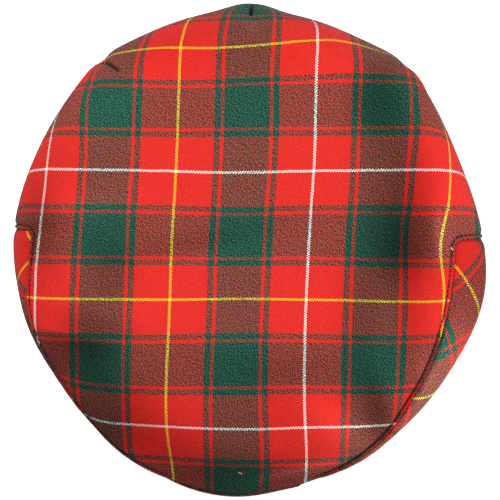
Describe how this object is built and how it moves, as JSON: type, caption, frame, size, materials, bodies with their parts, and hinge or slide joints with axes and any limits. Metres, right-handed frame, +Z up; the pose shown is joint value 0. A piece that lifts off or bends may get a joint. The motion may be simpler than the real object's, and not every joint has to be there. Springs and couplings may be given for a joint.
{
  "type": "flat cap",
  "caption": "Soft tartan flat cap with a one-piece darted crown, a cloth panel on each side and a short stiff peak tucked under the crown's front edge.",
  "frame": {"origin": "centre of the cap's bounding box in plan, on the surface that the cap rests on", "axes": "+Z up, +Y towards the back of the head, so that the peak points along -Y and +X is the wearer's left"},
  "size_m": [0.257, 0.2714, 0.096],
  "materials": {
    "crown_top": "twill-woven red, green, yellow and white tartan wool",
    "side_panel_left": "the same tartan, cut on the slant",
    "side_panel_right": "the same tartan, cut on the slant",
    "peak": "the same tartan over a stiff board"
  },
  "bodies": {
    "root": {"crown_top": "crown_top", "side_panel_left": "side_panel_left", "side_panel_right": "side_panel_right", "peak": "peak"}
  },
  "joints": []
}
